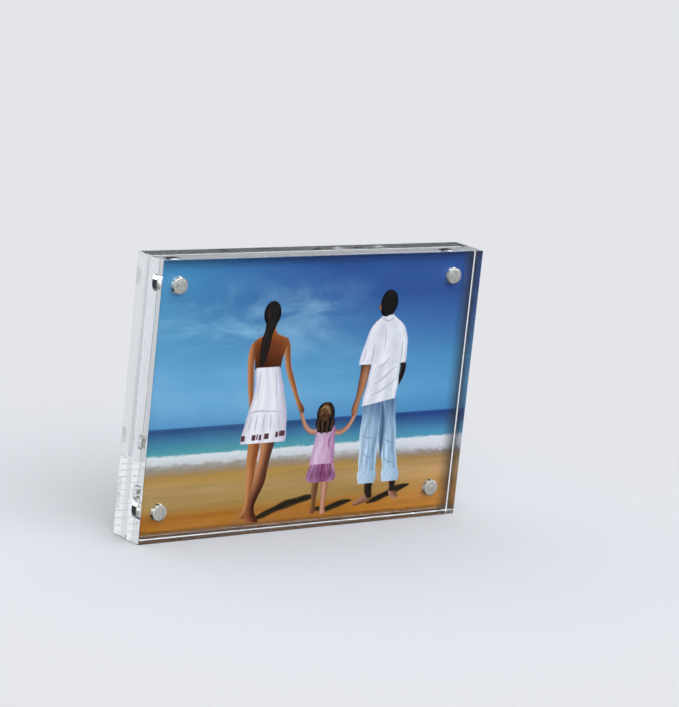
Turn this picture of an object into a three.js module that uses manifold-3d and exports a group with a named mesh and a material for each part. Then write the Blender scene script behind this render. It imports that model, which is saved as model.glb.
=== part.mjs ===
// A frameless block frame for one 5 x 7 in photo print, standing on its long edge.
//
// Two clear acrylic blocks of the same size clamp the print between their inner faces. Each block
// has a blind pocket near each corner, drilled from its inner face, with a disc magnet bonded into
// it, and each magnet pulls on the one that faces it through the print. The front block pulls
// straight off the back one, and the print then lifts out.
//
// Millimetres, +Z up. The picture faces -Y. The origin is at the middle of the footprint, on the
// surface that the frame stands on.
import * as THREE from "three";
import { mergeVertices } from "three/addons/utils/BufferGeometryUtils.js";
import Module from "manifold-3d";

// Driving dimensions.
const FRAME_WIDTH = 178;
const FRAME_HEIGHT = 127;
const BLOCK_THICKNESS = 10;
const EDGE_CHAMFER = 0.4; // flame-polished arris on all twelve edges
const PRINT_THICKNESS = 0.3;
const PRINT_CLEARANCE = 0.1; // air on each side of the print
const PRINT_MARGIN = 0.3; // the print stops this far inside the blocks' edges
const MAGNET_INSET = 12.5; // from the block's edges to a magnet's axis
const MAGNET_RADIUS = 3.5;
const MAGNET_LENGTH = 3;
const MAGNET_CHAMFER = 0.2;
const BOND_WALL = 0.26; // cured adhesive round the magnet
const BOND_FLOOR = 0.16; // cured adhesive under the magnet
const FIT_GAP = 0.02; // between any two pieces that are bonded together
const MAGNET_RECESS = 0.1; // a magnet's free face lies this far below the block's inner face
const ROUND_SIDES = 48;

// Worked out from them.
const blockGap = PRINT_THICKNESS + 2 * PRINT_CLEARANCE;
const bondInnerRadius = MAGNET_RADIUS + FIT_GAP;
const bondOuterRadius = bondInnerRadius + BOND_WALL;
const pocketRadius = bondOuterRadius + FIT_GAP;
const magnetFloor = FIT_GAP + BOND_FLOOR + FIT_GAP; // height of the magnet above the pocket's floor
const pocketDepth = magnetFloor + MAGNET_LENGTH + MAGNET_RECESS;
const magnetX = FRAME_WIDTH / 2 - MAGNET_INSET;
const magnetZ = FRAME_HEIGHT / 2 - MAGNET_INSET;

const wasm = await Module();
wasm.setup();

// A closed three.js geometry as a manifold solid.
function solidFrom(geometry) {
  const bare = geometry.clone();
  bare.deleteAttribute("normal");
  bare.deleteAttribute("uv");
  const merged = mergeVertices(bare);
  return new wasm.Manifold(
    new wasm.Mesh({
      numProp: 3,
      vertProperties: merged.getAttribute("position").array,
      triVerts: new Uint32Array(merged.index.array),
    }),
  );
}

// A manifold solid as a three.js geometry.
function geometryFrom(solid) {
  const mesh = solid.getMesh();
  const geometry = new THREE.BufferGeometry();
  geometry.setAttribute("position", new THREE.BufferAttribute(mesh.vertProperties, 3));
  geometry.setIndex(new THREE.BufferAttribute(mesh.triVerts, 1));
  geometry.computeVertexNormals();
  return geometry;
}

// Calls make(x, z, name) for each magnet's place, seen from the front of the frame.
function forEachCorner(make) {
  for (const [height, z] of [["top", magnetZ], ["bottom", -magnetZ]]) {
    for (const [side, x] of [["left", -magnetX], ["right", magnetX]]) {
      make(x, z, `${height}_${side}`);
    }
  }
}

// The block, centred on its own middle, with its inner face towards +Y.
function blockGeometry() {
  const halfWidth = FRAME_WIDTH / 2;
  const halfHeight = FRAME_HEIGHT / 2;
  const outline = new THREE.Shape([
    new THREE.Vector2(-halfWidth + EDGE_CHAMFER, -halfHeight),
    new THREE.Vector2(halfWidth - EDGE_CHAMFER, -halfHeight),
    new THREE.Vector2(halfWidth, -halfHeight + EDGE_CHAMFER),
    new THREE.Vector2(halfWidth, halfHeight - EDGE_CHAMFER),
    new THREE.Vector2(halfWidth - EDGE_CHAMFER, halfHeight),
    new THREE.Vector2(-halfWidth + EDGE_CHAMFER, halfHeight),
    new THREE.Vector2(-halfWidth, halfHeight - EDGE_CHAMFER),
    new THREE.Vector2(-halfWidth, -halfHeight + EDGE_CHAMFER),
  ]);
  const flat = BLOCK_THICKNESS - 2 * EDGE_CHAMFER;
  const slab = new THREE.ExtrudeGeometry(outline, {
    depth: flat,
    bevelEnabled: true,
    bevelThickness: EDGE_CHAMFER,
    bevelSize: EDGE_CHAMFER,
    bevelOffset: -EDGE_CHAMFER,
    bevelSegments: 1,
  });
  slab.translate(0, 0, -flat / 2);
  slab.rotateX(Math.PI / 2);

  let solid = solidFrom(slab);
  const pastTheFace = 1;
  const cutter = new THREE.CylinderGeometry(
    pocketRadius, pocketRadius, pocketDepth + pastTheFace, ROUND_SIDES,
  );
  const cutterY = BLOCK_THICKNESS / 2 + (pastTheFace - pocketDepth) / 2;
  forEachCorner((x, z) => {
    solid = solid.subtract(solidFrom(cutter.clone().translate(x, cutterY, z)));
  });
  return geometryFrom(solid);
}

// A nickel-plated disc, standing on y = 0.
function magnetGeometry() {
  const profile = [
    new THREE.Vector2(0, 0),
    new THREE.Vector2(MAGNET_RADIUS - MAGNET_CHAMFER, 0),
    new THREE.Vector2(MAGNET_RADIUS, MAGNET_CHAMFER),
    new THREE.Vector2(MAGNET_RADIUS, MAGNET_LENGTH - MAGNET_CHAMFER),
    new THREE.Vector2(MAGNET_RADIUS - MAGNET_CHAMFER, MAGNET_LENGTH),
    new THREE.Vector2(0, MAGNET_LENGTH),
  ];
  return new THREE.LatheGeometry(profile, ROUND_SIDES);
}

// The cup of cured adhesive that holds a magnet, standing on y = 0.
function bondGeometry() {
  const height = BOND_FLOOR + FIT_GAP + MAGNET_LENGTH - MAGNET_CHAMFER;
  const profile = [
    new THREE.Vector2(0, 0),
    new THREE.Vector2(bondOuterRadius, 0),
    new THREE.Vector2(bondOuterRadius, height),
    new THREE.Vector2(bondInnerRadius, height),
    new THREE.Vector2(bondInnerRadius, BOND_FLOOR),
    new THREE.Vector2(0, BOND_FLOOR),
  ];
  return new THREE.LatheGeometry(profile, ROUND_SIDES);
}

const acrylic = new THREE.MeshStandardMaterial({
  color: 0xf4f8f8, roughness: 0.03, metalness: 0, transparent: true, opacity: 0.35,
});
const nickel = new THREE.MeshStandardMaterial({ color: 0xcfd0cd, roughness: 0.22, metalness: 1 });
const adhesive = new THREE.MeshStandardMaterial({
  color: 0xeceeea, roughness: 0.5, metalness: 0, transparent: true, opacity: 0.5,
});
const photoPaper = new THREE.MeshStandardMaterial({ color: 0x4a86bd, roughness: 0.35, metalness: 0 });

const block = blockGeometry();
const magnet = magnetGeometry();
const bond = bondGeometry();

function addMesh(group, name, geometry, material, x, y, z) {
  const mesh = new THREE.Mesh(geometry, material);
  mesh.name = name;
  mesh.position.set(x, y, z);
  group.add(mesh);
}

// One block with its four magnets and their bonds. turned is true for the half that faces -Y.
function halfGroup(half, turned) {
  const group = new THREE.Group();
  const pocketFloor = BLOCK_THICKNESS / 2 - pocketDepth;
  addMesh(group, `${half}_block`, block, acrylic, 0, 0, 0);
  forEachCorner((x, z, corner) => {
    const ownX = turned ? -x : x;
    addMesh(group, `${half}_magnet_bond_${corner}`, bond, adhesive, ownX, pocketFloor + FIT_GAP, z);
    addMesh(group, `${half}_magnet_${corner}`, magnet, nickel, ownX, pocketFloor + magnetFloor, z);
  });
  group.rotation.z = turned ? Math.PI : 0;
  group.position.set(
    0, (turned ? 1 : -1) * (blockGap + BLOCK_THICKNESS) / 2, FRAME_HEIGHT / 2,
  );
  return group;
}

const frame = new THREE.Group();
frame.add(halfGroup("front", false));
frame.add(halfGroup("back", true));

const print = new THREE.BoxGeometry(
  FRAME_WIDTH - 2 * PRINT_MARGIN, PRINT_THICKNESS, FRAME_HEIGHT - 2 * PRINT_MARGIN,
);
addMesh(frame, "photo_print", print, photoPaper, 0, 0, FRAME_HEIGHT / 2);

export default frame;
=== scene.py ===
"""A frameless photo frame on a table: two clear acrylic blocks, held together by magnets in their
corners, with one borderless print between them. Metres, +Z up, the picture faces -Y."""

import math

import bmesh
import bpy
from mathutils import Matrix, Quaternion, Vector


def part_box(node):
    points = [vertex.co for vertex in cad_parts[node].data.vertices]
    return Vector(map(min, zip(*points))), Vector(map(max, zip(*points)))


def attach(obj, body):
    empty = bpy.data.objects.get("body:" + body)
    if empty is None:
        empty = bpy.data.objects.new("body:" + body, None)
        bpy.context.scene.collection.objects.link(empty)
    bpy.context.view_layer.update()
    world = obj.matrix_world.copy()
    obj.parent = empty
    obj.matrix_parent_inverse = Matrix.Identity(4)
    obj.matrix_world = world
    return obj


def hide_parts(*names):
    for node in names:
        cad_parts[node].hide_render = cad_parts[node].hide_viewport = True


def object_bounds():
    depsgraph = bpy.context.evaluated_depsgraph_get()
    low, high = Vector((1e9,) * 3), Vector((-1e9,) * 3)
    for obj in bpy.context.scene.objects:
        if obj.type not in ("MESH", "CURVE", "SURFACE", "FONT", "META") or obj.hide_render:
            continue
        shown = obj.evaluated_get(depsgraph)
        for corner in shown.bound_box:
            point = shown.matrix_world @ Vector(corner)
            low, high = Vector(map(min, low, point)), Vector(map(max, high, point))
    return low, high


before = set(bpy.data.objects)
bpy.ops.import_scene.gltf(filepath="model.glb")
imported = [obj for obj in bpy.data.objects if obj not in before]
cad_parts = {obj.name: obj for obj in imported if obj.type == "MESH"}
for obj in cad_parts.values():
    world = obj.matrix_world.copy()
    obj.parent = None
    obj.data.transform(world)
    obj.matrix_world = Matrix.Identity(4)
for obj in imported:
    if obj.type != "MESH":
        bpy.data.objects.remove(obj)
cad_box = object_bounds()

# --- Camera ---------------------------------------------------------------------------------------
# It stands in front of the frame's left end and a little above it, with a long lens, and is turned a
# few degrees about its own axis. The frame sits left of and below the middle of the view.

CAMERA_AZIMUTH = -38  # degrees round from straight in front; less than 0 is towards the left end
CAMERA_ELEVATION = 12
CAMERA_ROLL = 6
CAMERA_DISTANCE = 1.3
CAMERA_LENS = 146
VIEW_RIGHT, VIEW_UP = 0.0166, 0.0156  # from the frame's middle to the middle of the view

azimuth, elevation = math.radians(CAMERA_AZIMUTH), math.radians(CAMERA_ELEVATION)
backwards = Vector((
    math.sin(azimuth) * math.cos(elevation),
    -math.cos(azimuth) * math.cos(elevation),
    math.sin(elevation),
))
turn = (-backwards).to_track_quat("-Z", "Y") @ Quaternion((0, 0, 1), math.radians(CAMERA_ROLL))
middle = (Vector(cad_box[0]) + Vector(cad_box[1])) / 2
camera = bpy.data.objects.new("studio_camera", bpy.data.cameras.new("studio_camera"))
camera.data.lens = CAMERA_LENS
camera.location = middle + backwards * CAMERA_DISTANCE + turn @ Vector((VIEW_RIGHT, VIEW_UP, 0))
camera.rotation_euler = turn.to_euler()
bpy.context.scene.collection.objects.link(camera)
bpy.context.scene.camera = camera

# Light turns and reflects many times inside the blocks before it leaves them.
scene = bpy.context.scene
scene.view_settings.view_transform = "Standard"
scene.cycles.max_bounces = 64
scene.cycles.glossy_bounces = 32
scene.cycles.transmission_bounces = 32
scene.cycles.diffuse_bounces = 4
scene.cycles.use_denoising = True

# --- Studio ---------------------------------------------------------------------------------------
# A white tent with a dark card low down all round, which keeps the polished faces clear of
# reflections. The camera sees plain pale paper wherever it sees no floor.

PAPER_WHITE = "#e4e5e9"
TENT_WHITE = "#f4f6fa"
CARD_GREY = "#303236"
CARD_REACH = 3.6  # a ray that has turned more often than this doesn't see the card
SCATTERED_TURNS, PASSED_TURNS = 10.0, 0.5  # what one scattering and one pass through a face count as
FAR_TURNS = 2.5  # light reflected more often than this has been led far in a block
LED_IN_STRENGTH = -0.55  # what the roof then adds to the low strength
LAMP_PLACE = (-0.25, -0.55, 0.75)
LAMP_SIZE = (0.6, 0.4)
LAMP_WATTS = 2


def linear(hex_colour):
    """An sRGB hex colour as linear red, green, blue and alpha."""
    values = [int(hex_colour[i:i + 2], 16) / 255 for i in (1, 3, 5)]
    return [v / 12.92 if v <= 0.04045 else ((v + 0.055) / 1.055) ** 2.4 for v in values] + [1.0]


def add_node(tree, kind, inputs=None, stops=None, **settings):
    """Adds a node. inputs are values or sockets by input name or number; stops are a ramp's colours."""
    new = tree.nodes.new(kind)
    for name, value in settings.items():
        setattr(new, name, value)
    for name, value in (inputs or {}).items():
        if isinstance(value, bpy.types.NodeSocket):
            tree.links.new(value, new.inputs[name])
        else:
            new.inputs[name].default_value = value
    if stops:
        elements = new.color_ramp.elements
        while len(elements) < len(stops):
            elements.new(0.5)
        for element, (place, colour) in zip(elements, stops):
            element.position = place
            element.color = linear(colour)
    return new


world = bpy.data.worlds.new("white_tent")
world.use_nodes = True
world.node_tree.nodes.clear()
scene.world = world
tent = world.node_tree
way = add_node(tent, "ShaderNodeTexCoord")
parts = add_node(tent, "ShaderNodeSeparateXYZ", {0: way.outputs["Generated"]})
ray = add_node(tent, "ShaderNodeLightPath")
# From 0 straight down to 1 straight up.
height_of_ray = add_node(tent, "ShaderNodeMapRange", {
    "Value": parts.outputs["Z"], "From Min": -1.0, "From Max": 1.0})
tent_light = add_node(tent, "ShaderNodeValToRGB", {0: height_of_ray.outputs[0]}, stops=[
    (0.00, "#c8cace"), (0.36, "#cbcdd2"), (0.43, "#cfd1d6"), (0.49, "#dfe2e6"), (0.64, "#dcdfe4"),
    (0.70, TENT_WHITE), (1.00, "#ffffff")])
card_light = add_node(tent, "ShaderNodeValToRGB", {0: height_of_ray.outputs[0]}, stops=[
    (0.00, CARD_GREY), (0.62, CARD_GREY), (0.66, "#9a9ca0"), (0.70, TENT_WHITE), (1.00, "#ffffff")])
# The card only hides the faces' and the print's mirror reflections. It takes no light from the
# picture or the magnets, and none from the light led along a block, which is reflected many times.
scattered = add_node(tent, "ShaderNodeMath", {
    0: ray.outputs["Diffuse Depth"], 1: SCATTERED_TURNS, 2: ray.outputs["Glossy Depth"]},
    operation="MULTIPLY_ADD")
deep_inside = add_node(tent, "ShaderNodeMath", {
    0: ray.outputs["Transmission Depth"], 1: PASSED_TURNS, 2: scattered.outputs[0]},
    operation="MULTIPLY_ADD")
shallow = add_node(tent, "ShaderNodeMath", {0: deep_inside.outputs[0], 1: CARD_REACH},
                   operation="LESS_THAN")
mirrored = add_node(tent, "ShaderNodeMath", {
    0: shallow.outputs[0], 1: ray.outputs["Glossy Depth"]}, operation="MULTIPLY", use_clamp=True)
all_round = add_node(tent, "ShaderNodeMix", {
    0: mirrored.outputs[0], 6: tent_light.outputs[0], 7: card_light.outputs[0]}, data_type="RGBA")
# The front of the roof is the brightest part, where the lamps stand behind the cloth.
to_the_front = add_node(tent, "ShaderNodeMapRange", {
    "Value": parts.outputs["Y"], "From Min": -0.25, "From Max": -0.6})
high_up = add_node(tent, "ShaderNodeMapRange", {
    "Value": parts.outputs["Z"], "From Min": 0.28, "From Max": 0.45})
low_strength = add_node(tent, "ShaderNodeMapRange", {
    "Value": to_the_front.outputs[0], "To Min": 1.35, "To Max": 1.1})
roof_strength = add_node(tent, "ShaderNodeMapRange", {
    "Value": to_the_front.outputs[0], "To Min": 1.3, "To Max": 4.5})
# What the arrises lead in from the roof after many reflections is dimmer, so they don't glare.
led_far = add_node(tent, "ShaderNodeMath", {0: ray.outputs["Glossy Depth"], 1: FAR_TURNS},
                   operation="GREATER_THAN")
unscattered = add_node(tent, "ShaderNodeMath", {0: ray.outputs["Diffuse Depth"], 1: 0.5},
                       operation="LESS_THAN")
led_in = add_node(tent, "ShaderNodeMath", {0: led_far.outputs[0], 1: unscattered.outputs[0]},
                  operation="MULTIPLY")
roof_here = add_node(tent, "ShaderNodeMix", {
    0: led_in.outputs[0], 2: roof_strength.outputs[0], 3: LED_IN_STRENGTH})
strength = add_node(tent, "ShaderNodeMath", {
    0: high_up.outputs[0], 1: roof_here.outputs[0], 2: low_strength.outputs[0]},
    operation="MULTIPLY_ADD")
tent_shader = add_node(tent, "ShaderNodeBackground", {
    0: all_round.outputs[2], 1: strength.outputs[0]})
paper_shader = add_node(tent, "ShaderNodeBackground", {0: linear(PAPER_WHITE), 1: 1.0})
seen = add_node(tent, "ShaderNodeMixShader", {
    0: ray.outputs["Is Camera Ray"], 1: tent_shader.outputs[0], 2: paper_shader.outputs[0]})
add_node(tent, "ShaderNodeOutputWorld", {"Surface": seen.outputs[0]})

key_light = bpy.data.objects.new("softbox", bpy.data.lights.new("softbox", "AREA"))
key_light.data.shape = "RECTANGLE"
key_light.data.size, key_light.data.size_y = LAMP_SIZE
key_light.data.energy = LAMP_WATTS
key_light.location = LAMP_PLACE
key_light.rotation_euler = (middle - key_light.location).to_track_quat("-Z", "Y").to_euler()
scene.collection.objects.link(key_light)

# The floor is a round sheet of matt card whose edge fades into the paper behind it.
MM = 0.001
FLOOR_RADIUS = 0.5
FLOOR_GREY = "#8c8d90"
FADE_FROM, FADE_TO = 0.12, 0.42  # where the card's fading starts and ends, from its middle
FLOOR_GAP = 0.15 * MM  # the air under the blocks' polished edges
ROUND_STEPS = 96  # straight pieces in the outline of a large circle


def set_down(name, shape):
    """Turns a bmesh into an object in the scene."""
    mesh = bpy.data.meshes.new(name)
    shape.to_mesh(mesh)
    shape.free()
    made = bpy.data.objects.new(name, mesh)
    scene.collection.objects.link(made)
    return made


def new_material(name):
    """A material and its empty node tree."""
    material = bpy.data.materials.new(name)
    material.use_nodes = True
    material.node_tree.nodes.clear()
    return material, material.node_tree


floor_mesh = bmesh.new()
bmesh.ops.create_circle(floor_mesh, cap_ends=True, segments=ROUND_STEPS, radius=FLOOR_RADIUS)
bmesh.ops.translate(floor_mesh, verts=floor_mesh.verts, vec=(0, 0, -FLOOR_GAP))
floor = set_down("floor", floor_mesh)
floor.visible_glossy = floor.visible_transmission = False  # it leaves no veil on the picture

card, card_nodes = new_material("matt white card")
place = add_node(card_nodes, "ShaderNodeTexCoord")
from_middle = add_node(card_nodes, "ShaderNodeVectorMath", {0: place.outputs["Object"]},
                       operation="LENGTH")
fade = add_node(card_nodes, "ShaderNodeMapRange", {
    "Value": from_middle.outputs["Value"], "From Min": FADE_FROM, "From Max": FADE_TO},
    interpolation_type="SMOOTHERSTEP")
matt = add_node(card_nodes, "ShaderNodeBsdfDiffuse", {"Color": linear(FLOOR_GREY)})
clear = add_node(card_nodes, "ShaderNodeBsdfTransparent")
faded = add_node(card_nodes, "ShaderNodeMixShader", {
    0: fade.outputs[0], 1: matt.outputs[0], 2: clear.outputs[0]})
add_node(card_nodes, "ShaderNodeOutputMaterial", {"Surface": faded.outputs[0]})
floor.data.materials.append(card)

# The floor right under the back block gets little light. It shows in that block's top edge.
# A dim glowing sheet there, hidden from the camera, is painted shade.
SHADE_GREY = "#30373a"
back_low, back_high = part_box("back_block")
shade_mesh = bmesh.new()
bmesh.ops.create_grid(shade_mesh, x_segments=1, y_segments=1, size=0.5)  # one metre square
bmesh.ops.transform(shade_mesh, verts=shade_mesh.verts, matrix=(
    Matrix.Translation((0, (back_low.y + back_high.y) / 2, -FLOOR_GAP / 2))
    @ Matrix.Diagonal((back_high.x - back_low.x, back_high.y - back_low.y, 1, 1))))
shaded_floor = set_down("shaded_floor", shade_mesh)
shaded_floor.visible_camera = shaded_floor.visible_diffuse = shaded_floor.visible_shadow = False
# Painted shade: the sheet glows a dark grey instead of being lit card.
dim, painted_shade_nodes = new_material("card in the block's shade")
painted_shade_glow = add_node(painted_shade_nodes, "ShaderNodeEmission", {"Color": linear(SHADE_GREY)})
add_node(painted_shade_nodes, "ShaderNodeOutputMaterial", {"Surface": painted_shade_glow.outputs[0]})
shaded_floor.data.materials.append(dim)

# --- Blocks ---------------------------------------------------------------------------------------
# Two slabs sawn from 10 mm cast acrylic sheet, with diamond-milled and polished edges and a small
# arris all round. Four blind pockets for the magnets are drilled from each inner face.

ARRIS = 0.4 * MM
POCKET_RADIUS = 3.8 * MM
POCKET_DEPTH = 3.3 * MM
DRILL_REACH = 2 * MM  # how far a drill stands out of the inner face
ACRYLIC_INDEX = 1.49
CORNERS = ("top_left", "top_right", "bottom_left", "bottom_right")


def new_piece(name, shape, body, replaced, materials):
    """Puts a bmesh in the scene as a piece that moves with its body and stands for its CAD nodes."""
    piece = set_down(name, shape)
    for material in materials:
        piece.data.materials.append(material)
    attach(piece, body)
    if replaced:
        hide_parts(*replaced)
    return piece


def repeats(millimetres):
    """How many times a pattern of this size repeats in a metre, which is a texture's scale."""
    return 1 / (millimetres * MM)


def cast_acrylic(name, milled):
    """Clear cast acrylic: water-clear, index 1.49, with a breath of green through its length.
    Its faces are as cast; a milled edge keeps faint tool lines, far finer than they are drawn."""
    material, tree = new_material(name)
    where = add_node(tree, "ShaderNodeTexCoord")
    smudges = add_node(tree, "ShaderNodeTexNoise", {
        "Vector": where.outputs["Object"], "Scale": repeats(17), "Detail": 4.0})
    gloss = add_node(tree, "ShaderNodeMapRange", {
        "Value": smudges.outputs["Fac"], "From Min": 0.35, "From Max": 0.75,
        "To Min": 0.004, "To Max": 0.02})
    shader = add_node(tree, "ShaderNodeBsdfPrincipled", {
        "Base Color": linear("#fdfefe"), "IOR": ACRYLIC_INDEX, "Transmission Weight": 1.0,
        "Roughness": gloss.outputs[0]})
    if milled:
        # A wave texture of scale 1 has 20 radians to the metre.
        lines = add_node(tree, "ShaderNodeTexWave", {
            "Vector": where.outputs["Object"], "Scale": repeats(2) * math.tau / 20,
            "Distortion": 1.5, "Detail": 2.0})
        bump = add_node(tree, "ShaderNodeBump", {
            "Height": lines.outputs["Fac"], "Strength": 0.0015, "Distance": 0.0002})
        tree.links.new(bump.outputs[0], shader.inputs["Normal"])
    tint = add_node(tree, "ShaderNodeVolumeAbsorption", {
        "Color": linear("#cbd6d6"), "Density": 1.0})
    add_node(tree, "ShaderNodeOutputMaterial", {
        "Surface": shader.outputs[0], "Volume": tint.outputs[0]})
    return material


faces_as_cast = cast_acrylic("cast acrylic, faces as cast", milled=False)
edges_milled = cast_acrylic("cast acrylic, diamond-milled edges", milled=True)


def plate(low, high, arris, steps):
    """A rectangular plate between two corners, with each edge rounded by this arris in this many
    steps."""
    shape = bmesh.new()
    bmesh.ops.create_cube(shape, size=1)
    bmesh.ops.transform(shape, verts=shape.verts, matrix=(
        Matrix.Translation((low + high) / 2) @ Matrix.Diagonal((*(high - low), 1))))
    bmesh.ops.bevel(shape, geom=shape.edges[:], affect="EDGES", offset=arris, segments=steps,
                    profile=0.5, material=-1)
    return shape


def slab(node, inner_sign):
    """The block of a CAD node, with its pockets. The sign is its inner face's: 1 looks along +Y."""
    low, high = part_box(node)
    uncut = set_down("uncut_slab", plate(low, high, ARRIS, 3))
    drills = bmesh.new()
    inner_y = high.y if inner_sign > 0 else low.y
    for corner in CORNERS:
        magnet_low, magnet_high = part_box(f"{node.split('_')[0]}_magnet_{corner}")
        at = (magnet_low + magnet_high) / 2
        drill_y = inner_y + inner_sign * (DRILL_REACH - POCKET_DEPTH) / 2
        bmesh.ops.create_cone(
            drills, cap_ends=True, segments=ROUND_STEPS, radius1=POCKET_RADIUS, radius2=POCKET_RADIUS,
            depth=POCKET_DEPTH + DRILL_REACH,
            matrix=Matrix.Translation((at.x, drill_y, at.z)) @ Matrix.Rotation(math.pi / 2, 4, "X"))
    drill_object = set_down("drills", drills)
    cut = uncut.modifiers.new("pockets", "BOOLEAN")
    cut.operation, cut.solver, cut.object = "DIFFERENCE", "EXACT", drill_object
    graph = bpy.context.evaluated_depsgraph_get()
    drilled = bmesh.new()
    drilled.from_object(uncut, graph)
    for made in (uncut, drill_object):
        bpy.data.objects.remove(made)
    for face in drilled.faces:
        slant = abs(face.normal.y)  # 1 on the large faces and the pockets' floors, 0 on the walls
        face.material_index = 0 if slant > 0.99 else 1
        centre = face.calc_center_median()
        in_a_wall = low.x + 2 * ARRIS < centre.x < high.x - 2 * ARRIS and slant < 0.01
        face.smooth = in_a_wall and low.z + 2 * ARRIS < centre.z < high.z - 2 * ARRIS
    return drilled


for half, inner_sign in (("front", 1), ("back", -1)):
    new_piece(f"{half}_block_clear", slab(f"{half}_block", inner_sign), f"{half}_half",
              [f"{half}_block"], [faces_as_cast, edges_milled])

# --- Magnets --------------------------------------------------------------------------------------
# Sintered neodymium discs, nickel plated and tumbled, so that their arrises are soft and their faces
# carry shallow dents and small dull spots. One sits in each pocket, set just below the inner face.

MAGNET_ARRIS = 0.3 * MM
ARRIS_PLACES = [math.radians(a) for a in (0, 30, 60, 90)]  # points round a quarter turn
TURNED_STEPS = 72
SAME_POINT = 1e-7  # metres within which two points are one


def nickel_plating():
    """Bright nickel over a tumbled disc: a warm silver with shallow waves and dull specks."""
    material, tree = new_material("nickel plating, tumbled")
    where = add_node(tree, "ShaderNodeTexCoord")
    waves = add_node(tree, "ShaderNodeTexNoise", {
        "Vector": where.outputs["Object"], "Scale": repeats(1.4), "Detail": 3.0})
    specks = add_node(tree, "ShaderNodeTexNoise", {
        "Vector": where.outputs["Object"], "Scale": repeats(0.6), "Detail": 2.0})
    tone = add_node(tree, "ShaderNodeValToRGB", {0: waves.outputs["Fac"]}, stops=[
        (0.30, "#cfccc8"), (0.50, "#ecebe8"), (0.75, "#faf9f8")])
    gloss = add_node(tree, "ShaderNodeMapRange", {
        "Value": specks.outputs["Fac"], "From Min": 0.35, "From Max": 0.7,
        "To Min": 0.22, "To Max": 0.45})
    bump = add_node(tree, "ShaderNodeBump", {
        "Height": waves.outputs["Fac"], "Strength": 0.7, "Distance": 0.0006})
    shader = add_node(tree, "ShaderNodeBsdfPrincipled", {
        "Base Color": tone.outputs[0], "Metallic": 1.0, "Roughness": gloss.outputs[0],
        "Normal": bump.outputs[0]})
    add_node(tree, "ShaderNodeOutputMaterial", {"Surface": shader.outputs[0]})
    return material


def turned(node, profile):
    """Spins an axis-to-axis profile of (radius, depth) points about a node's middle axis. The depth
    is measured from the pocket's floor towards the inner face."""
    low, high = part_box(node)
    shape = bmesh.new()
    points = [shape.verts.new((radius, 0, depth)) for radius, depth in profile]
    line = [shape.edges.new(pair) for pair in zip(points, points[1:])]
    bmesh.ops.spin(shape, geom=points + line, cent=(0, 0, 0), axis=(0, 0, 1),
                   angle=2 * math.pi, steps=TURNED_STEPS, use_merge=True)
    bmesh.ops.remove_doubles(shape, verts=shape.verts, dist=SAME_POINT)
    bmesh.ops.recalc_face_normals(shape, faces=shape.faces)
    facing = -1 if node.startswith("front") else 1
    stand = Matrix.Translation(((low.x + high.x) / 2, low.y if facing < 0 else high.y,
                                (low.z + high.z) / 2))
    bmesh.ops.transform(shape, verts=shape.verts,
                        matrix=stand @ Matrix.Rotation(facing * math.pi / 2, 4, "X"))
    return shape


nickel = nickel_plating()
for half in ("front", "back"):
    for corner in CORNERS:
        node = f"{half}_magnet_{corner}"
        low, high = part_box(node)
        radius, length = (high.x - low.x) / 2, high.y - low.y
        profile = [(0, 0)]
        profile += [(radius - MAGNET_ARRIS * (1 - math.sin(a)), MAGNET_ARRIS * (1 - math.cos(a)))
                    for a in ARRIS_PLACES]
        profile += [(radius - MAGNET_ARRIS * (1 - math.cos(a)),
                     length - MAGNET_ARRIS * (1 - math.sin(a))) for a in ARRIS_PLACES]
        profile += [(0, length)]
        magnet = new_piece(f"{node}_plated", turned(node, profile), f"{half}_half",
                           [node], [nickel])
        magnet.data.shade_smooth()

# --- Adhesive -------------------------------------------------------------------------------------
# A drop of clear acrylic adhesive, squeezed into a thin cup round each magnet as it is pressed home.
# It cures clear, with a few fine bubbles.


def cured_adhesive():
    """Cured acrylic adhesive: clear, a little milky where it is full of fine bubbles, which are
    drawn coarser than they are."""
    material, tree = new_material("acrylic adhesive, cured")
    where = add_node(tree, "ShaderNodeTexCoord")
    bubbles = add_node(tree, "ShaderNodeTexVoronoi", {
        "Vector": where.outputs["Object"], "Scale": repeats(0.7)})
    milky = add_node(tree, "ShaderNodeMapRange", {
        "Value": bubbles.outputs["Distance"], "From Min": 0.1, "From Max": 0.5,
        "To Min": 0.3, "To Max": 0.08})
    shader = add_node(tree, "ShaderNodeBsdfPrincipled", {
        "Base Color": linear("#fbfbf8"), "IOR": 1.48, "Transmission Weight": 1.0,
        "Roughness": milky.outputs[0]})
    add_node(tree, "ShaderNodeOutputMaterial", {"Surface": shader.outputs[0]})
    return material


BOND_FLOOR = 0.16 * MM
BOND_CLEARANCE = 0.02 * MM  # between the cup and the magnet in it
BOND_ROUNDING = 0.06 * MM
BOND_LIP = 0.08 * MM
adhesive = cured_adhesive()
for half in ("front", "back"):
    for corner in CORNERS:
        node = f"{half}_magnet_bond_{corner}"
        low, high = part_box(node)
        magnet_low, magnet_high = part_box(f"{half}_magnet_{corner}")
        outer, height = (high.x - low.x) / 2, high.y - low.y
        inner = (magnet_high.x - magnet_low.x) / 2 + BOND_CLEARANCE
        rim = (outer + inner) / 2
        cup = [(0, 0), (outer - BOND_ROUNDING, 0), (outer, BOND_ROUNDING), (outer, height - BOND_LIP),
               (rim, height), (inner, height - BOND_LIP), (inner, BOND_FLOOR), (0, BOND_FLOOR)]
        new_piece(f"{node}_cured", turned(node, cup), f"{half}_half", [node],
                  [adhesive])

# --- Print ----------------------------------------------------------------------------------------
# One sheet of resin-coated photo paper, cut with a guillotine: white core and edges, a plain back,
# and the picture in the coating on its front.

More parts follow.
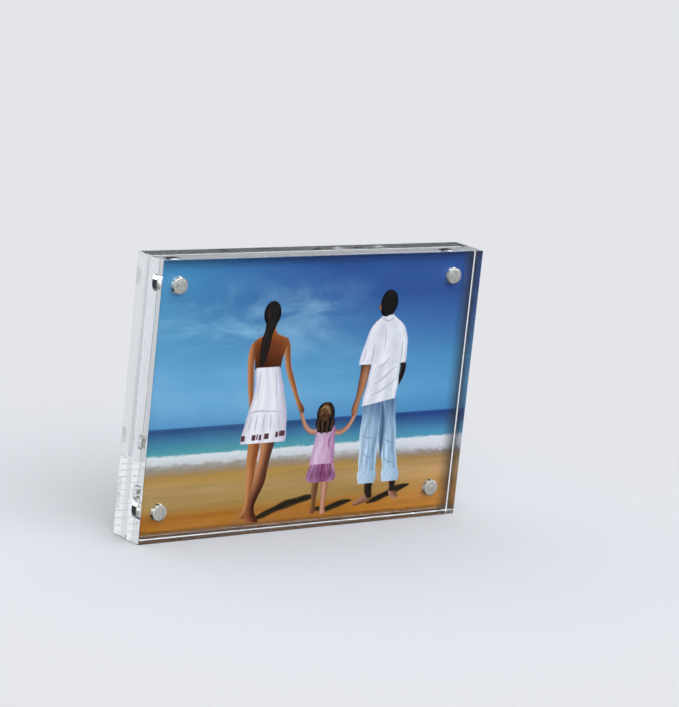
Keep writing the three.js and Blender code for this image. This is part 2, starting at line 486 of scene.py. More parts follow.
LAYER = 0.015 * MM  # dye layers in the coating, drawn one over the other
GROUND_LAYERS, FIGURE_LAYERS = 2, 9
CUT_EDGE = 0.03 * MM  # how far the guillotine rounds the paper's edges
PAPER_INDEX = 1.5
PICTURE_GLOSS = 0.2  # roughness of the glossy coating
SURF_WANDER = 0.075  # how far the surf's edges wander, as a share of the picture's height
DEEP_SKY_FROM, DEEP_SKY_REACH = 0.6, 5.0  # the height it starts at, how far it leans to the left
paper_low, paper_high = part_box("photo_print")


def photo_paper():
    """Resin-coated paper: satin white, faintly clouded, with a fine tooth that is drawn coarser
    than it is."""
    material, tree = new_material("resin-coated photo paper")
    where = add_node(tree, "ShaderNodeTexCoord")
    tooth = add_node(tree, "ShaderNodeTexNoise", {
        "Vector": where.outputs["Object"], "Scale": repeats(0.4), "Detail": 3.0})
    clouding = add_node(tree, "ShaderNodeTexNoise", {
        "Vector": where.outputs["Object"], "Scale": repeats(22), "Detail": 5.0, "Roughness": 0.6})
    mixed = add_node(tree, "ShaderNodeMix", {
        0: 0.65, 2: tooth.outputs["Fac"], 3: clouding.outputs["Fac"]})
    tone = add_node(tree, "ShaderNodeValToRGB", {0: mixed.outputs[0]}, stops=[
        (0.35, "#e9eaec"), (0.65, "#f8f9fa")])
    bump = add_node(tree, "ShaderNodeBump", {
        "Height": tooth.outputs["Fac"], "Strength": 0.15, "Distance": 0.0001})
    shader = add_node(tree, "ShaderNodeBsdfPrincipled", {
        "Base Color": tone.outputs[0], "Roughness": 0.45, "IOR": PAPER_INDEX,
        "Normal": bump.outputs[0]})
    add_node(tree, "ShaderNodeOutputMaterial", {"Surface": shader.outputs[0]})
    return material


def seascape():
    """The picture's ground, in the print's glossy coating: sky, sea, surf and sand in bands, with
    soft cloud, ripples and ridges of sand. Heights are shares of the picture's height."""
    material, tree = new_material("photo print, sea and sky")
    where = add_node(tree, "ShaderNodeTexCoord")
    spot = add_node(tree, "ShaderNodeSeparateXYZ", {0: where.outputs["Object"]})
    across = add_node(tree, "ShaderNodeMapRange", {
        "Value": spot.outputs["X"], "From Min": paper_low.x, "From Max": paper_high.x})
    up = add_node(tree, "ShaderNodeMapRange", {
        "Value": spot.outputs["Z"], "From Min": paper_low.z, "From Max": paper_high.z})
    # The surf's two edges wander by a millimetre or two, and most of all on the wet sand.
    surf_place = add_node(tree, "ShaderNodeMapping", {
        "Vector": where.outputs["Object"], "Scale": (repeats(9), 1.0, repeats(3))})
    surf_noise = add_node(tree, "ShaderNodeTexNoise", {
        "Vector": surf_place.outputs[0], "Scale": 1.6, "Detail": 8.0, "Roughness": 0.68})
    wander = add_node(tree, "ShaderNodeMath", {
        0: surf_noise.outputs["Fac"], 1: 0.5}, operation="SUBTRACT")
    near_surf = add_node(tree, "ShaderNodeValToRGB", {0: up.outputs[0]}, stops=[
        (0.00, "#000000"), (0.20, "#606060"), (0.25, "#ffffff"), (0.27, "#c0c0c0"),
        (0.30, "#a8a8a8"), (0.33, "#000000")])
    wander_here = add_node(tree, "ShaderNodeMath", {
        0: wander.outputs[0], 1: near_surf.outputs[0]}, operation="MULTIPLY")
    band = add_node(tree, "ShaderNodeMath", {
        0: wander_here.outputs[0], 1: SURF_WANDER, 2: up.outputs[0]}, operation="MULTIPLY_ADD")
    left_bands = add_node(tree, "ShaderNodeValToRGB", {0: band.outputs[0]}, stops=[
        (0.000, "#7a4c16"), (0.031, "#b3731d"), (0.071, "#af7023"), (0.102, "#ac8949"),
        (0.165, "#b6955e"), (0.213, "#b99045"), (0.227, "#a8895c"), (0.240, "#9e9081"),
        (0.256, "#aaa59e"), (0.266, "#d3d6d8"), (0.291, "#e4eaee"), (0.296, "#58a3aa"),
        (0.315, "#4a96a8"), (0.346, "#3f7ca0"), (0.382, "#2c4f82"), (0.391, "#2f5890"),
        (0.395, "#5b9ccb"), (0.480, "#71b0da"), (0.600, "#66a9d6"), (0.685, "#5aa0cb"),
        (0.843, "#4c93c0"), (0.953, "#4a98c8"), (1.000, "#3a7db0")])
    right_bands = add_node(tree, "ShaderNodeValToRGB", {0: band.outputs[0]}, stops=[
        (0.000, "#8a5818"), (0.031, "#cb8836"), (0.071, "#c98e46"), (0.110, "#bf8a46"),
        (0.165, "#d0a470"), (0.200, "#bd9560"), (0.213, "#a88659"), (0.226, "#9c8572"),
        (0.238, "#a39ea4"), (0.250, "#dddfe8"), (0.291, "#e8ebf4"), (0.296, "#529cbd"),
        (0.315, "#4b90bc"), (0.346, "#3c6b9e"), (0.382, "#244186"), (0.391, "#28488e"),
        (0.395, "#4a8dc2"), (0.480, "#5a9fcf"), (0.600, "#4e93c4"), (0.685, "#4379b4"),
        (0.843, "#31569a"), (0.953, "#31589e"), (1.000, "#2c4c8c")])
    # High in the sky the right side's deeper blue reaches past the middle.
    from_right = add_node(tree, "ShaderNodeMath", {0: 1.0, 1: across.outputs[0]}, operation="SUBTRACT")
    in_middle = add_node(tree, "ShaderNodeMath", {
        0: across.outputs[0], 1: from_right.outputs[0]}, operation="MULTIPLY")
    high_in_sky = add_node(tree, "ShaderNodeMath", {0: up.outputs[0], 1: DEEP_SKY_FROM},
                           operation="SUBTRACT")
    bend = add_node(tree, "ShaderNodeMath", {
        0: in_middle.outputs[0], 1: high_in_sky.outputs[0]}, operation="MULTIPLY")
    share = add_node(tree, "ShaderNodeMath", {
        0: bend.outputs[0], 1: DEEP_SKY_REACH, 2: across.outputs[0]}, operation="MULTIPLY_ADD")
    ground = add_node(tree, "ShaderNodeMix", {
        0: share.outputs[0], 6: left_bands.outputs[0], 7: right_bands.outputs[0]},
        data_type="RGBA")
    # Soft cloud, nearly three times as long as it is high, thickest left of the middle.
    cloud_place = add_node(tree, "ShaderNodeMapping", {
        "Vector": where.outputs["Object"], "Location": (2.2, 0.0, 0.6),
        "Rotation": (0.0, math.radians(-6), 0.0), "Scale": (repeats(50), 1.0, repeats(18))})
    cloud_noise = add_node(tree, "ShaderNodeTexNoise", {
        "Vector": cloud_place.outputs[0], "Scale": 1.0, "Detail": 9.0, "Roughness": 0.6,
        "Distortion": 0.5})
    cloud_edge = add_node(tree, "ShaderNodeMapRange", {
        "Value": cloud_noise.outputs["Fac"], "From Min": 0.38, "From Max": 0.72},
        interpolation_type="SMOOTHSTEP")
    cloud_height = add_node(tree, "ShaderNodeValToRGB", {0: up.outputs[0]}, stops=[
        (0.40, "#404040"), (0.50, "#b8b8b8"), (0.66, "#c0c0c0"), (0.80, "#f4f4f4"),
        (0.90, "#707070"), (0.97, "#000000")])
    cloud_across = add_node(tree, "ShaderNodeValToRGB", {0: across.outputs[0]}, stops=[
        (0.00, "#a0a0a0"), (0.22, "#ffffff"), (0.52, "#e0e0e0"), (0.70, "#404040"),
        (1.00, "#101010")])
    cloud_here = add_node(tree, "ShaderNodeMath", {
        0: cloud_height.outputs[0], 1: cloud_across.outputs[0]}, operation="MULTIPLY")
    cloud = add_node(tree, "ShaderNodeMath", {
        0: cloud_here.outputs[0], 1: cloud_edge.outputs[0]}, operation="MULTIPLY")
    clouded = add_node(tree, "ShaderNodeMix", {
        0: cloud.outputs[0], 6: ground.outputs[2], 7: linear("#9fd4ec")}, data_type="RGBA")
    # Long low ridges in the sand, and ripples on the sea.
    ridge_place = add_node(tree, "ShaderNodeMapping", {
        "Vector": where.outputs["Object"], "Rotation": (0.0, math.radians(1.5), 0.0),
        "Scale": (repeats(60), 1.0, repeats(3.3))})
    ridge_noise = add_node(tree, "ShaderNodeTexNoise", {
        "Vector": ridge_place.outputs[0], "Scale": 1.0, "Detail": 8.0, "Roughness": 0.66})
    ridge_depth = add_node(tree, "ShaderNodeValToRGB", {0: up.outputs[0]}, stops=[
        (0.00, "#dcdcdc"), (0.20, "#d0d0d0"), (0.24, "#505050"), (0.29, "#404040"),
        (0.32, "#707070"), (0.385, "#505050"), (0.395, "#101010"), (1.00, "#0a0a0a")])
    ridge_shade = add_node(tree, "ShaderNodeMapRange", {
        "Value": ridge_noise.outputs["Fac"], "From Min": 0.3, "From Max": 0.7,
        "To Min": 0.72, "To Max": 1.22})
    ridged = add_node(tree, "ShaderNodeMix", {
        0: ridge_depth.outputs[0], 6: (1.0, 1.0, 1.0, 1.0), 7: ridge_shade.outputs[0]},
        data_type="RGBA")
    shaded = add_node(tree, "ShaderNodeMix", {
        0: 1.0, 6: clouded.outputs[2], 7: ridged.outputs[2]}, data_type="RGBA",
        blend_type="MULTIPLY")
    # The picture's edges fall off into shade.
    side_shade = add_node(tree, "ShaderNodeValToRGB", {0: across.outputs[0]}, stops=[
        (0.000, "#e0e0e0"), (0.020, "#ffffff"), (0.960, "#ffffff"), (0.985, "#b8b8b8"),
        (1.000, "#707070")])
    end_shade = add_node(tree, "ShaderNodeValToRGB", {0: up.outputs[0]}, stops=[
        (0.000, "#787878"), (0.030, "#ffffff"), (0.975, "#ffffff"), (1.000, "#c0c0c0")])
    edge_shade = add_node(tree, "ShaderNodeMix", {
        0: 1.0, 6: side_shade.outputs[0], 7: end_shade.outputs[0]}, data_type="RGBA",
        blend_type="MULTIPLY")
    edged = add_node(tree, "ShaderNodeMix", {
        0: 1.0, 6: shaded.outputs[2], 7: edge_shade.outputs[2]}, data_type="RGBA",
        blend_type="MULTIPLY")
    shader = add_node(tree, "ShaderNodeBsdfPrincipled", {
        "Base Color": edged.outputs[2], "Roughness": PICTURE_GLOSS, "IOR": PAPER_INDEX})
    add_node(tree, "ShaderNodeOutputMaterial", {"Surface": shader.outputs[0]})
    return material


def sheet(low, high):
    """A thin sheet between two corners, with its cut edges a little rounded."""
    return plate(low, high, min(CUT_EDGE, (high.y - low.y) / 4), 2)


paper = photo_paper()
picture_front = paper_low.y + FIGURE_LAYERS * LAYER
picture_back = picture_front + GROUND_LAYERS * LAYER
new_piece("print_paper", sheet(Vector((paper_low.x, picture_back, paper_low.z)), paper_high),
          "print", ["photo_print"], [paper])
new_piece("print_picture", sheet(Vector((paper_low.x, picture_front, paper_low.z)),
                                 Vector((paper_high.x, picture_back, paper_high.z))),
          "print", [], [seascape()])

# --- Figures in the picture -----------------------------------------------------------------------
# A family on the beach, all seen from behind: three figures hand in hand and their shadows.
# Each is laid in flat patches of dye. Places are millimetres from the picture's top left corner.

ACROSS = 10  # cells across a patch
DOWN = 4  # cells down a patch, from one outline point to the next
PATCH_THICKNESS = 0.8 * LAYER
SHADOW_LAYER = 0.1  # between the picture's ground and the lowest layer of the figures
PLAIN = [(0.0, "#ffffff"), (1.0, "#ffffff")]  # no shade from top to foot


def dye(name, across, down=PLAIN, streaks=(6.0, 0.6), depth=0.1):
    """A patch of the print in one tone: colours from its left to its right edge, shade from its top
    to its foot, and streaks along it, as many across and down it as streaks says."""
    material, tree = new_material(f"photo print, {name}")
    uv = add_node(tree, "ShaderNodeUVMap", uv_map="patch")
    spread = add_node(tree, "ShaderNodeMapping", {
        "Vector": uv.outputs[0], "Scale": (streaks[0], streaks[1], 1.0)})
    folds = add_node(tree, "ShaderNodeTexNoise", {
        "Vector": spread.outputs[0], "Scale": 1.0, "Detail": 4.0, "Distortion": 0.4})
    spot = add_node(tree, "ShaderNodeSeparateXYZ", {0: uv.outputs[0]})
    colour = add_node(tree, "ShaderNodeValToRGB", {0: spot.outputs["X"]}, stops=across)
    fall = add_node(tree, "ShaderNodeValToRGB", {0: spot.outputs["Y"]}, stops=down)
    fold_shade = add_node(tree, "ShaderNodeMapRange", {
        "Value": folds.outputs["Fac"], "From Min": 0.3, "From Max": 0.7,
        "To Min": 1 - depth, "To Max": 1 + depth})
    fallen = add_node(tree, "ShaderNodeMix", {0: 1.0, 6: colour.outputs[0], 7: fall.outputs[0]},
                      data_type="RGBA", blend_type="MULTIPLY")
    folded = add_node(tree, "ShaderNodeVectorMath", {
        0: fallen.outputs[2], "Scale": fold_shade.outputs[0]}, operation="SCALE")
    shader = add_node(tree, "ShaderNodeBsdfPrincipled", {
        "Base Color": folded.outputs[0], "Roughness": PICTURE_GLOSS, "IOR": PAPER_INDEX})
    add_node(tree, "ShaderNodeOutputMaterial", {"Surface": shader.outputs[0]})
    return material


def smooth(points, share):
    """The point a share of the way down a list of points, on a smooth curve through them."""
    place = share * (len(points) - 1)
    first = min(int(place), len(points) - 2)
    t = place - first
    before, start = points[max(first - 1, 0)], points[first]
    end, after = points[first + 1], points[min(first + 2, len(points) - 1)]
    return 0.5 * (2 * start + (end - before) * t + (2 * before - 5 * start + 4 * end - after) * t * t
                  + (3 * start - before - 3 * end + after) * t ** 3)


def rows(*spans):
    """Outline of a patch from (down, left, right) spans, from its top to its foot."""
    return [(Vector((left, down)), Vector((right, down))) for down, left, right in spans]


def limb(*stations):
    """Outline of a patch along a line of (across, down, width) stations."""
    middles = [Vector(station[:2]) for station in stations]
    pairs = []
    for i, (x, down, width) in enumerate(stations):
        along = middles[min(i + 1, len(middles) - 1)] - middles[max(i - 1, 0)]
        side = Vector((along.y, -along.x)).normalized() * width / 2
        pairs.append((middles[i] - side, middles[i] + side))
    return pairs


def blob(x, down, half_width, half_height):
    """Outline of an oval patch."""
    turns = [math.radians(a) for a in (6, 22, 45, 68, 90, 112, 135, 158, 174)]
    return rows(*[(down - half_height * math.cos(a), x - half_width * math.sin(a),
                   x + half_width * math.sin(a)) for a in turns])


def paint(shape, layer, tone, outline):
    """Adds a patch to a figure: a thin plate between the two edges of its outline."""
    made = bmesh.ops.create_grid(
        shape, x_segments=ACROSS, y_segments=DOWN * (len(outline) - 1), size=0.5, calc_uvs=True)
    left, right = [pair[0] for pair in outline], [pair[1] for pair in outline]
    for vertex in made["verts"]:  # the grid runs from -0.5 to 0.5 both ways
        share = vertex.co.y + 0.5
        at = smooth(left, share).lerp(smooth(right, share), vertex.co.x + 0.5)
        vertex.co = (paper_low.x + at.x * MM, picture_front - layer * LAYER, paper_high.z - at.y * MM)
    faces = list(dict.fromkeys(face for vertex in made["verts"] for face in vertex.link_faces))
    for face in faces:
        face.material_index = tone
    shape.normal_update()
    bmesh.ops.solidify(shape, geom=faces, thickness=PATCH_THICKNESS)


def figure(name, tones, patches):
    """Makes a figure of (tone, layer, outline) patches; a higher layer lies over a lower one."""
    shape = bmesh.new()
    shape.loops.layers.uv.new("patch")
    names = list(tones)
    for tone, layer, outline in patches:
        paint(shape, layer, names.index(tone), outline)
    bmesh.ops.recalc_face_normals(shape, faces=shape.faces)
    new_piece(name, shape, "print", [], list(tones.values()))


figure("print_shadows", {
    "shadow": dye("shadow on sand", [(0.0, "#5d451f"), (0.25, "#2e2411"), (0.75, "#2a2010"),
                                     (1.0, "#5d451f")], depth=0.25),
}, [("shadow", SHADOW_LAYER, limb(*places)) for places in (
    ((64, 122.4, 0.8), (70, 120.4, 3.2), (76, 118.2, 3.0), (82, 116.4, 4.2), (88, 115.2, 3.4),
     (93, 114.2, 3.4), (96, 113.8, 2.4), (98, 113.4, 0.6)),
    ((97, 121, 0.8), (100, 119.8, 2.2), (104, 120.6, 2.6), (109, 119.4, 3.2), (114.5, 118, 3),
     (120, 117.2, 0.6)),
    ((129, 119.4, 0.8), (134, 117.8, 3.2), (140, 115.8, 3.0), (145, 114, 3.8), (149.5, 112.8, 2.6),
     (153.5, 112, 0.6)))])

figure("print_woman", {
    "skin": dye("sunlit skin", [(0.0, "#d4945e"), (0.3, "#c07e4c"), (0.65, "#98582e"),
                                (0.85, "#884a24"), (1.0, "#b47846")],
                down=[(0.0, "#e8e0d8"), (0.3, "#ffffff"), (0.75, "#ffffff"), (1.0, "#b4a498")],
                depth=0.1),
    "far": dye("shaded leg", [(0.0, "#d09468"), (0.3, "#b87850"), (0.62, "#72402a"), (1.0, "#4c2612")],
               down=[(0.0, "#ffffff"), (0.3, "#ffffff"), (0.6, "#a89080"), (1.0, "#cbb8ac")],
               depth=0.1),
    "back": dye("skin of the back", [(0.0, "#c47a3c"), (0.16, "#a05a26"), (0.4, "#98521f"),
                                     (0.6, "#a05a28"), (0.82, "#a45c2a"), (1.0, "#c07a3e")],
                down=[(0.0, "#ffffff"), (0.3, "#f4ece4"), (0.6, "#c8b4a8"), (1.0, "#6e5a50")],
                streaks=(3.0, 2.0), depth=0.14),
    "hair": dye("dark hair", [(0.0, "#100c0b"), (0.3, "#30241d"), (0.5, "#1a120f"),
                              (0.7, "#291e18"), (1.0, "#0c0908")], streaks=(20.0, 1.6), depth=0.5),
    "cotton": dye("white cotton", [(0.0, "#c8c4d6"), (0.1, "#eeedf4"), (0.3, "#f4f3f8"),
                                   (0.5, "#e4e1ec"), (0.62, "#f4f3f8"), (0.85, "#dbd8e4"),
                                   (1.0, "#bdb8ca")], streaks=(10.0, 1.4), depth=0.1),
    "tuck": dye("shade in white cotton", [(0.0, "#d6d2e0"), (0.5, "#c2bdd0"), (1.0, "#d6d2e0")],
                streaks=(3.0, 6.0), depth=0.1),
    "border": dye("dark red border", [(0.0, "#7a5058"), (0.5, "#4c2a32"), (1.0, "#6d4450")],
                  depth=0.4),
}, [
    ("skin", 1, rows((85.5, 58.2, 64.4), (90, 58, 64.4), (95, 58, 63.6), (99, 58.6, 63.4),
                     (103, 58.6, 63.8), (107, 59, 63.4), (111, 59.4, 62.6), (115, 59.4, 61.9),
                     (118, 58.2, 62), (120, 57, 61.8), (121.3, 56.6, 60.6))),
    ("far", 2, rows((85.5, 64.8, 72.8), (90, 65, 71.8), (95, 64.6, 70.6), (99, 63.4, 70),
                    (103, 62.8, 69.6), (107, 62.2, 68.4), (111, 61.6, 66.4), (115, 61.2, 64.8),
                    (118, 60.6, 64.8), (120.4, 59.8, 66), (122.2, 60.4, 67.2), (123.6, 62.6, 67.4))),
    ("skin", 2, rows((39.4, 56, 59), (41, 54.4, 58.6), (44, 53.6, 57.6), (48, 53.4, 57),
                     (52, 53.8, 57.2), (56, 54.2, 57.6), (60, 54.8, 58), (64, 55.6, 58.2),
                     (68, 56.4, 58.6), (71, 56.8, 58.8), (73, 57.2, 58.2))),
    ("skin", 2, limb((72.6, 38.6, 3.4), (74.2, 42, 3.8), (75, 46, 3.4), (75.8, 50, 3.0),
                     (77, 54, 3.0), (78.8, 58, 2.9), (80.6, 62, 2.5), (82.4, 66, 2.1),
                     (84, 69, 2.4), (85.6, 71.4, 2.9), (87, 73.4, 1.8))),
    ("back", 3, rows((31, 62.6, 67), (34.6, 62.6, 67.4), (36.4, 61.6, 69), (37.6, 58.6, 72.4),
                     (39, 56.4, 74), (41, 55.6, 74.4), (44, 56.2, 73.4), (48, 57.2, 72.4),
                     (52.4, 57.8, 71.8))),
    ("cotton", 4, rows((51.4, 58.6, 71.4), (53, 58, 72), (57, 58.6, 73.2), (61, 58.8, 74.6),
                       (65, 58.2, 75.6), (69, 57.2, 76.8), (72, 56.2, 77.4), (76, 55.4, 78),
                       (80, 54.4, 78.2), (84, 53.4, 78.6), (86.4, 53.6, 78))),
    ("tuck", 5, limb((56.4, 72.4, 0.5), (62, 71.4, 0.9), (68, 71.8, 0.6), (77, 72.6, 0.8))),
    *[("tuck", 5, limb((x, 73.2, 0.4), (x - lean / 2, 77, 0.9), (x - lean, 80.6, 0.5)))
      for x, lean in ((58.4, 1.2), (61.6, 0.8), (65.4, 0.2), (69.2, -0.2), (73.4, -0.8))],
    *[("tuck", 5, limb((x, 53.2, 0.4), (x + lean / 2, 58, 0.8), (x + lean, 66, 0.4)))
      for x, lean in ((61.2, -0.6), (69.4, 1.6))],
    *[("border", 5, rows((82.2 + drop, x, x + width), (84.8 + drop, x - 0.2, x + width)))
      for x, width, drop in ((53.7, 2.2, 0.3), (59.6, 2.1, 0.2), (62.2, 0.7, -0.1), (63.6, 1.2, 0.3),
                             (66.4, 2.6, -0.1), (72.6, 1.4, -0.6), (74.6, 3.2, -1.0))],
    ("hair", 6, blob(64.5, 26.8, 4.7, 5.8)),
    ("hair", 7, limb((64.6, 28.4, 7.4), (64.3, 32, 5.8), (63.4, 35.4, 4.6), (62.7, 38.6, 5.2),
                     (62.2, 42, 4.9), (61.8, 45.4, 4.2), (61.4, 48.4, 3.0), (60.9, 51, 0.9))),
])

figure("print_child", {
    "shaded": dye("skin in shade", [(0.0, "#9a6a48"), (0.5, "#7a4c30"), (1.0, "#5e3823")], depth=0.08),
    "skin": dye("fair skin", [(0.0, "#a8745a"), (0.35, "#cf9c80"), (0.7, "#bd8064"), (1.0, "#8e5c42")],
                depth=0.08),
    "hair": dye("brown curls", [(0.0, "#241a14"), (0.3, "#5c3f25"), (0.5, "#6a4526"),
                                (0.75, "#3c2a1b"), (1.0, "#1c1512")],
                down=[(0.0, "#b0a89f"), (0.35, "#ffffff"), (0.65, "#70665e"), (1.0, "#3c342f")],
                streaks=(6.0, 9.0), depth=0.7),
    "lock": dye("one wavy lock", [(0.0, "#33241a"), (0.4, "#543a23"), (1.0, "#2a1e16")],
                streaks=(4.0, 7.0), depth=0.5),
    "light": dye("curls in sunlight", [(0.0, "#5c3f25"), (0.45, "#a87e4e"), (1.0, "#523720")],
                 streaks=(6.0, 5.0), depth=0.5),
    "pink": dye("pink cotton", [(0.0, "#c79cc0"), (0.2, "#e0c6de"), (0.5, "#d2abca"),
                                (0.75, "#d2a8ca"), (1.0, "#a8709a")],
                down=[(0.0, "#e4dce2"), (0.55, "#ffffff"), (1.0, "#ffffff")],
                streaks=(6.0, 3.0), depth=0.16),
    "frill": dye("gathered frill", [(0.0, "#bc8eb4"), (0.25, "#aa769e"), (0.5, "#84486c"),
                                    (0.75, "#a0668e"), (1.0, "#b88aae")], streaks=(12.0, 1.2),
                 down=[(0.0, "#ffffff"), (0.5, "#e0c8d8"), (1.0, "#ffffff")], depth=0.6),
}, [
    ("shaded", 1, rows((105, 96, 99.9), (108, 96.2, 99.8), (111, 96, 99.6), (114, 96.6, 99.3),
                       (117, 96.8, 99), (119.4, 96.6, 99.2), (121, 96, 99.3), (122, 96.4, 98.8))),
    ("skin", 1, rows((105, 101, 105.4), (108, 101.6, 105.3), (111, 101.6, 105.2), (114, 102, 104.9),
                     (117, 102.2, 104.6), (119.6, 102.1, 104.8), (121.4, 101.9, 105.3),
                     (122.6, 102.6, 105.2))),
    ("skin", 2, limb((96.4, 83.2, 2.8), (93, 82.9, 2.5), (90.4, 81.4, 2.3), (88.6, 79.2, 2.1),
                     (87.2, 76.4, 1.9), (86.2, 74, 2.1), (85.4, 72.2, 1.6))),
    ("skin", 2, limb((105.6, 83.8, 2.8), (109, 84.2, 2.5), (112, 82.9, 2.3), (114.4, 80.6, 2.1),
                     (116, 77.8, 1.9), (117, 75.2, 2.1), (117.4, 73, 1.6))),
    ("pink", 3, rows((80.6, 96.4, 105.4), (82, 95.2, 106.6), (85, 95.6, 106.4), (89, 95, 106.8),
                     (93, 94.2, 107), (97, 93.8, 107.2), (100, 93.6, 107.2))),
    ("frill", 4, rows((98.6, 94, 107), (100.4, 93.2, 107.8), (102.6, 92.6, 108.6),
                      (104.6, 92.2, 109.2), (106.2, 93, 108.6), (107.2, 95, 107))),
    ("frill", 5, limb((104.6, 85, 0.5), (103.4, 88, 0.9), (104, 92, 0.5))),
    ("hair", 5, rows((69.4, 98.6, 101.8), (70.6, 96.6, 103.4), (72.6, 95.3, 104.6), (75, 94.9, 105.2),
                     (77.2, 95.3, 104.9), (79.2, 94.7, 105.6), (81.2, 95.4, 105), (82.8, 96.2, 104.2),
                     (83.8, 97.6, 102.8))),
    *[("lock", 6, limb((x, 76.6, 0.3), (x + bend, 79.4, 1.5), (x, 81.8, 1.5), (x + bend, foot, 0.5)))
      for x, bend, foot in ((96.6, -0.6, 83.6), (99, -0.4, 84.5), (101.4, 0.4, 84.4),
                            (103.7, 0.6, 83.4))],
    ("light", 7, limb((97, 73, 0.4), (98.8, 71.4, 1.8), (101, 72.2, 2.2), (102.6, 75.4, 0.4))),
])

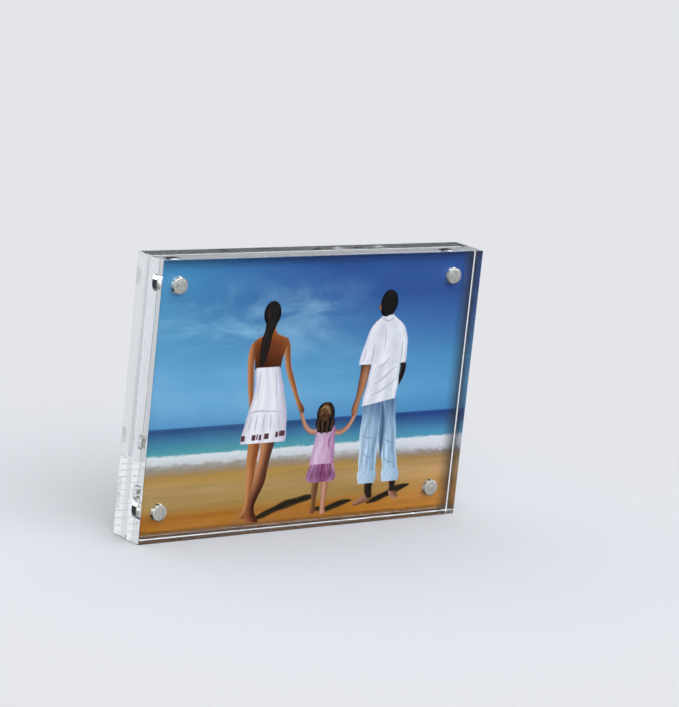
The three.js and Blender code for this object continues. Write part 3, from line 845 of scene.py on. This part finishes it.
figure("print_man", {
    "skin": dye("tanned skin", [(0.0, "#5e3a2a"), (0.3, "#9a6244"), (0.65, "#c0845c"),
                                (1.0, "#8a5638")],
                down=[(0.0, "#7a6c60"), (0.25, "#ffffff"), (0.8, "#ffffff"), (1.0, "#c8beb4")],
                depth=0.1),
    "shaded": dye("skin in deep shade", [(0.0, "#3a2a20"), (0.5, "#241b14"), (1.0, "#33261c")]),
    "foot": dye("bare foot", [(0.0, "#b48468"), (0.5, "#96684e"), (1.0, "#5d3e2c")], depth=0.15),
    "hair": dye("short dark hair", [(0.0, "#0e0c0b"), (0.4, "#1e1a17"), (1.0, "#0a0908")],
                streaks=(12.0, 8.0), depth=0.5),
    "cotton": dye("white shirting", [(0.0, "#d9d7e4"), (0.1, "#f1f0f7"), (0.36, "#dddce8"),
                                     (0.5, "#efeef5"), (0.72, "#dcdde9"), (0.92, "#f3f3f8"),
                                     (1.0, "#cfd2e0")], streaks=(3.0, 3.4), depth=0.1),
    "fold": dye("shade in white shirting", [(0.0, "#d2d2df"), (0.5, "#b4b7c9"), (1.0, "#d2d2df")],
                depth=0.1),
    "denim": dye("light blue trousers", [(0.0, "#c8deee"), (0.2, "#b8d2e6"), (0.5, "#acc6de"),
                                         (0.8, "#90adca"), (1.0, "#b0c9df")],
                 down=[(0.0, "#8494ac"), (0.1, "#aab6c8"), (0.26, "#e0e7ee"), (0.45, "#ffffff"),
                       (1.0, "#ffffff")],
                 streaks=(6.0, 2.6), depth=0.42),
    "cuff": dye("turned-up cuff", [(0.0, "#c6dcee"), (0.5, "#b4cee6"), (1.0, "#98b6d2")],
                streaks=(6.0, 3.0), depth=0.14),
    "crease": dye("trousers in shade", [(0.0, "#7f9cbc"), (0.5, "#34506e"), (1.0, "#7f9cbc")],
                  depth=0.3),
    "tuck": dye("soft fold of the trousers", [(0.0, "#93b1cf"), (0.5, "#7897b8"), (1.0, "#93b1cf")],
                depth=0.2),
}, [
    ("foot", 1, limb((130.8, 115.2, 3.2), (128.6, 116.8, 3.8), (125.6, 118, 3.2), (122.8, 119, 2.4),
                     (120.8, 119.4, 1.2))),
    ("foot", 1, limb((142.6, 113.6, 3.2), (143.6, 115.6, 3.8), (145.4, 117.2, 3.0),
                     (147, 118, 1.4))),
    ("shaded", 2, rows((108, 126.6, 131.6), (112, 126.8, 131.2), (115, 127.4, 131.6),
                       (117, 129, 131.8))),
    ("shaded", 2, rows((108, 141, 145), (111, 141.2, 144.8), (114.6, 141.8, 144.6))),
    ("denim", 3, rows((69, 131, 139.8), (74, 131.6, 140.4), (79, 132, 140.8), (84, 133, 141.8),
                      (89, 133.6, 142.4), (94, 134.4, 143), (99, 135.2, 144.2), (103, 136.2, 144.8),
                      (107, 136.2, 146), (109.6, 137, 145.6))),
    ("denim", 4, rows((69, 122, 133), (74, 121.2, 133.4), (79, 121.2, 133.4), (84, 120.8, 133),
                      (89, 121, 132.6), (94, 121.8, 132), (99, 121.6, 132), (103, 122.2, 132),
                      (107, 122.2, 132.6), (109.8, 123.2, 131.8))),
    ("crease", 5, rows((71.6, 131.2, 133), (76, 131.4, 134.6), (81, 131.8, 135.4), (86, 132, 135.6),
                       (91, 132.6, 135.2), (95, 133.4, 134.8), (98, 134, 134.6))),
    *[("tuck", 6, limb(*places)) for places in (
        ((123, 73.4, 0.3), (125, 76, 0.9), (126.4, 80, 0.3)),
        ((122.4, 86, 0.3), (125.6, 88, 0.7), (129.4, 87.6, 0.3)),
        ((124, 95, 0.3), (127, 97.4, 0.8), (130.4, 97, 0.3)),
        ((135.8, 88.8, 0.3), (138.4, 90.6, 0.7), (141.4, 90, 0.3)),
        ((137.4, 74, 0.3), (138, 79, 0.8), (139.4, 84, 0.3)),
        ((137, 98.4, 0.3), (139.6, 100.4, 0.8), (143, 99.8, 0.3)))],
    ("cuff", 6, rows((103.8, 121.8, 132.4), (106.6, 121.8, 132.8), (109.8, 122.8, 132))),
    ("cuff", 6, rows((103.4, 135.8, 145.2), (106.4, 135.8, 146.4), (109.6, 136.6, 145.8))),
    ("skin", 3, limb((120.4, 50, 5.6), (120.2, 54, 5.6), (119.8, 58, 5.0), (119.2, 62, 4.6),
                     (118.4, 66, 3.7), (117.4, 69.6, 2.9), (116.6, 72.4, 3.5), (116, 75, 2.9),
                     (115.8, 77, 1.2))),
    ("shaded", 3, limb((141.4, 51, 3.8), (142.2, 54.4, 3.4), (141.8, 58, 3.0), (140.6, 61.4, 2.4),
                       (139.6, 63.6, 1.4))),
    ("cotton", 5, [(Vector(left), Vector(right)) for left, right in (
        ((124, 36), (139, 36)), ((123.2, 44), (140.4, 44)), ((123.6, 52), (140.2, 52)),
        ((122.6, 58), (140, 58)), ((122, 63), (140.2, 62.4)), ((120.8, 68), (139.6, 66.4)),
        ((120.2, 72.6), (139.4, 69.6)))]),
    ("cotton", 6, rows((29.8, 127.4, 133.4), (31.4, 125.6, 135.4), (33.4, 123, 138.4),
                       (35.6, 121.2, 140.6), (38.6, 119.8, 142), (42, 118.8, 143),
                       (46, 117.4, 143.2), (50, 116.4, 143.4), (52.8, 116, 143.2))),
    ("skin", 6, rows((26.6, 127, 133.4), (29.6, 127.2, 133.2))),
    ("fold", 7, limb((126.8, 31, 0.5), (130.4, 32.6, 0.8), (134, 31.2, 0.5))),
    *[("fold", 7, limb(*places)) for places in (
        ((124.2, 43, 0.3), (123.6, 48, 1.0), (123.2, 53.4, 0.4)),
        ((140, 42, 0.3), (140.4, 47.6, 1.0), (140, 53.4, 0.4)),
        ((125.6, 62.6, 0.3), (130, 60.4, 0.9), (134.6, 56.8, 0.9), (138.6, 54.2, 0.3)),
        ((124.6, 67.4, 0.3), (129.6, 66, 0.8), (135, 62.8, 0.8), (139.4, 59.6, 0.3)),
        ((127.4, 54.6, 0.3), (131, 52.8, 0.8), (134.4, 49.4, 0.3)),
        ((129.6, 36, 0.3), (130.2, 41, 0.7), (129.8, 46.6, 0.3)),
        ((119.6, 45, 0.3), (119.2, 48, 0.8), (118.4, 51.4, 0.3)))],
    ("skin", 7, blob(125.1, 26, 0.8, 1.4)),
    ("hair", 7, blob(128.8, 27.4, 3.3, 3.2)),
    ("hair", 8, blob(130.1, 24, 4.9, 6.1)),
])
